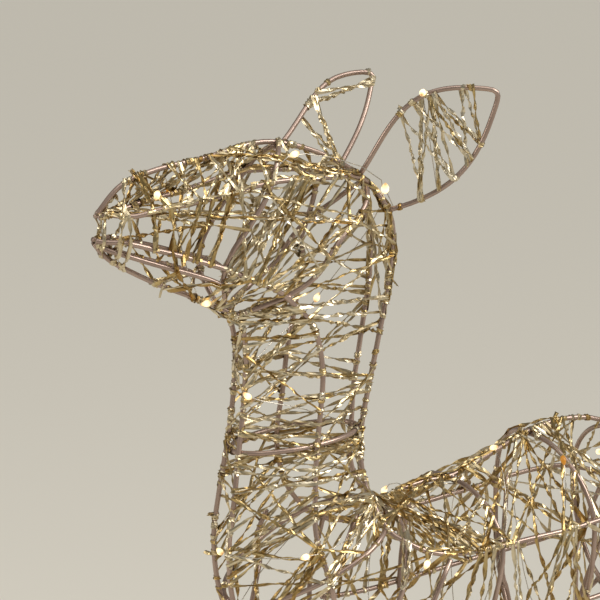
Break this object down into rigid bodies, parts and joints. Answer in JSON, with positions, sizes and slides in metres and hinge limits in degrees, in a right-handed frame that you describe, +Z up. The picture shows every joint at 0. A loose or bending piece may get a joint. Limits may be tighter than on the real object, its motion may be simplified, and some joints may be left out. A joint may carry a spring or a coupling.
{
  "type": "light-up reindeer ornament",
  "caption": "Standing doe of bent steel rod, wound with champagne metallised strip and a fine lamp wire, resting on four rod feet.",
  "frame": {"origin": "on the ground under the middle of the animal", "axes": "+Z up, the animal faces -X, its left side is -Y"},
  "size_m": [0.4093, 0.122, 0.6093],
  "materials": {
    "frame_paint": "satin rose-taupe paint on round steel rod",
    "metallised_strip": "bright champagne metallised film, creased and twisted",
    "lamps": "clear moulded drops, lit warm white"
  },
  "bodies": {
    "root": {"wire_frame": "frame_paint", "lamp_string": "lamps", "strip_head": "metallised_strip", "strip_neck": "metallised_strip", "strip_body": "metallised_strip", "strip_ear_left": "metallised_strip", "strip_ear_right": "metallised_strip", "strip_tail": "metallised_strip", "strip_front_leg_left": "metallised_strip", "strip_hind_leg_left": "metallised_strip", "strip_front_leg_right": "metallised_strip", "strip_hind_leg_right": "metallised_strip"}
  },
  "joints": []
}
